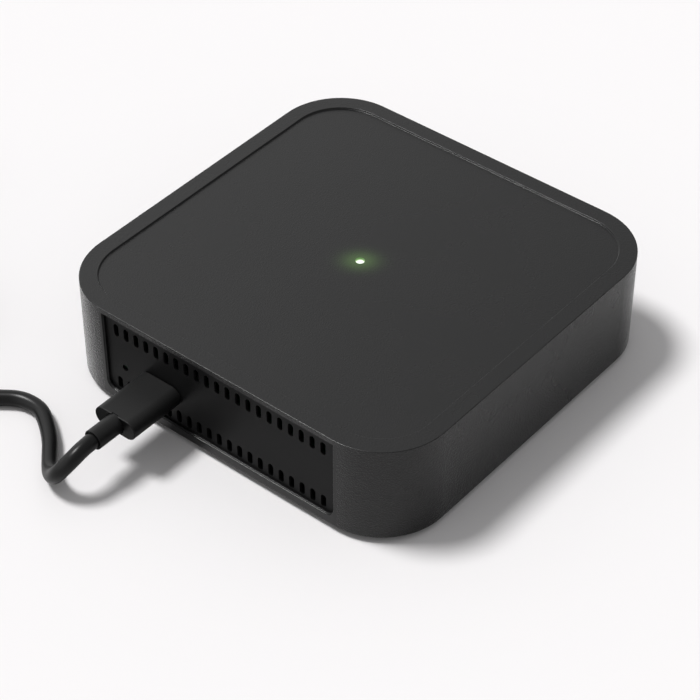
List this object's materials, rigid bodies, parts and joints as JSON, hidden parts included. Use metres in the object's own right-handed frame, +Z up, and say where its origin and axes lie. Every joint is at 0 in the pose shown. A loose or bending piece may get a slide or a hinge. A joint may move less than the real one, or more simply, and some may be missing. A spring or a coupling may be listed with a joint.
{
  "type": "smart home bridge",
  "caption": "Low square black hub with a lit dot on top, a slotted rear panel with a reset pinhole, and a plug-in USB-C power lead.",
  "frame": {"origin": "centre of the body's footprint, on the surface it stands on", "axes": "+Z up, +Y out of the slotted rear panel, +X to the left for someone facing that panel"},
  "size_m": [0.1854, 0.1483, 0.0269],
  "materials": {
    "housing": "fine matte moulded grain",
    "top_plate": "fine matte moulded grain",
    "plate_adhesive": "double-sided tape",
    "light_pipe": "polished clear plastic",
    "rear_panel": "smooth satin",
    "base_cover": "fine matte",
    "rubber_feet": "matte rubber",
    "threaded_inserts": "knurled brass",
    "case_screws": "dark zinc",
    "main_board": "solder mask",
    "board_screws": "zinc",
    "status_led": "moulded diode",
    "processor": "moulded package",
    "thermal_pad": "soft silicone",
    "heat_sink": "extruded aluminium",
    "memory_chips": "moulded package",
    "wifi_shield": "tinned sheet",
    "mesh_shield": "tinned sheet",
    "wifi_antenna": "plated sheet",
    "mesh_antenna": "plated sheet",
    "crystals": "metal lid",
    "power_inductors": "ferrite",
    "chip_capacitors": "ceramic",
    "can_capacitors": "aluminium can",
    "reset_switch": "moulded",
    "reset_plunger": "moulded",
    "usb_socket_shell": "nickel-plated sheet",
    "usb_socket_pedestal": "moulded",
    "usb_socket_tongue": "moulded",
    "usb_plug_shell": "nickel-plated sheet",
    "usb_plug_body": "satin moulded",
    "strain_relief": "satin moulded",
    "power_cord": "satin jacket",
    "cord_coil": "satin jacket",
    "cord_tail": "satin jacket",
    "supply_plug_relief": "satin moulded",
    "supply_plug_body": "satin moulded",
    "supply_plug_shell": "nickel-plated sheet",
    "supply_plug_tongue": "moulded insulator"
  },
  "bodies": {
    "hub": {"housing": "housing", "top_plate": "top_plate", "plate_adhesive": "plate_adhesive", "light_pipe": "light_pipe", "rear_panel": "rear_panel", "base_cover": "base_cover", "rubber_feet": "rubber_feet", "threaded_inserts": "threaded_inserts", "case_screws": "case_screws", "main_board": "main_board", "board_screws": "board_screws", "status_led": "status_led", "processor": "processor", "thermal_pad": "thermal_pad", "heat_sink": "heat_sink", "memory_chips": "memory_chips", "wifi_shield": "wifi_shield", "mesh_shield": "mesh_shield", "wifi_antenna": "wifi_antenna", "mesh_antenna": "mesh_antenna", "crystals": "crystals", "power_inductors": "power_inductors", "chip_capacitors": "chip_capacitors", "can_capacitors": "can_capacitors", "reset_switch": "reset_switch", "usb_socket_shell": "usb_socket_shell", "usb_socket_pedestal": "usb_socket_pedestal", "usb_socket_tongue": "usb_socket_tongue"},
    "reset_button": {"reset_plunger": "reset_plunger"},
    "power_lead": {"usb_plug_shell": "usb_plug_shell", "usb_plug_body": "usb_plug_body", "strain_relief": "strain_relief", "power_cord": "power_cord", "cord_coil": "cord_coil", "cord_tail": "cord_tail", "supply_plug_relief": "supply_plug_relief", "supply_plug_body": "supply_plug_body", "supply_plug_shell": "supply_plug_shell", "supply_plug_tongue": "supply_plug_tongue"}
  },
  "joints": [
    {"name": "reset_press", "type": "slide", "parent": "hub", "child": "reset_button", "axis": [0, -1, 0], "range_m": [0, 0.00025], "stiffness_N_per_m": 2000, "springref_m": -0.0003},
    {"name": "plug_pull", "type": "slide", "parent": "hub", "child": "power_lead", "axis": [0, 1, 0], "range_m": [0, 0.008]}
  ]
}
